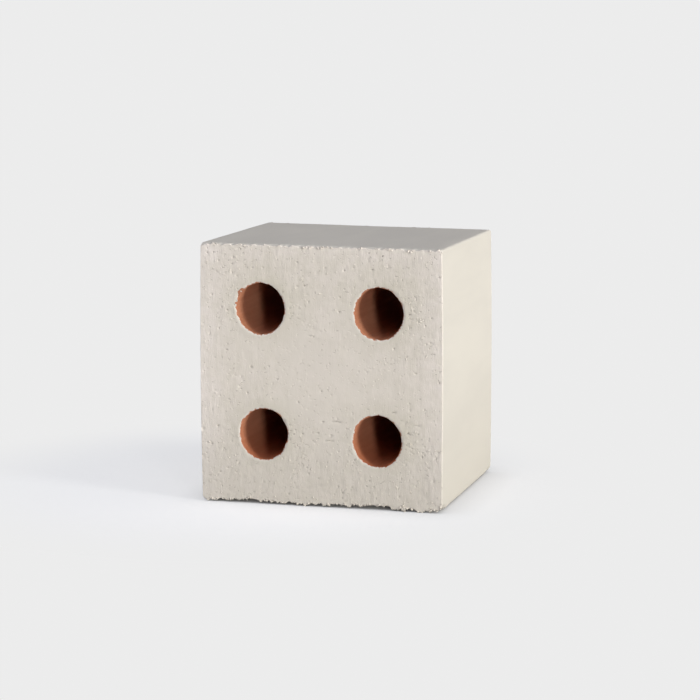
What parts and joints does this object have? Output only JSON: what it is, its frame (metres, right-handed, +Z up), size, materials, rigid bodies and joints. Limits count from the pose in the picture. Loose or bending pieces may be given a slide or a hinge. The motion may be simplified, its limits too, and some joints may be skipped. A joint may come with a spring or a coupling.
{
  "type": "perforated clay block",
  "caption": "Near-cubic extruded clay building block with round bores from cut face to cut face, pale matt slip outside and bare terracotta inside.",
  "frame": {"origin": "middle of the bottom side, on the floor", "axes": "+Z up, -Y out of the front cut face, so the bores run along Y, +X to the right as seen from the front"},
  "size_m": [0.116, 0.104, 0.122],
  "materials": {
    "slip_coated_clay": "matt cream slip over terracotta, bare terracotta in the bores"
  },
  "bodies": {
    "root": {"perforated_block": "slip_coated_clay"}
  },
  "joints": []
}
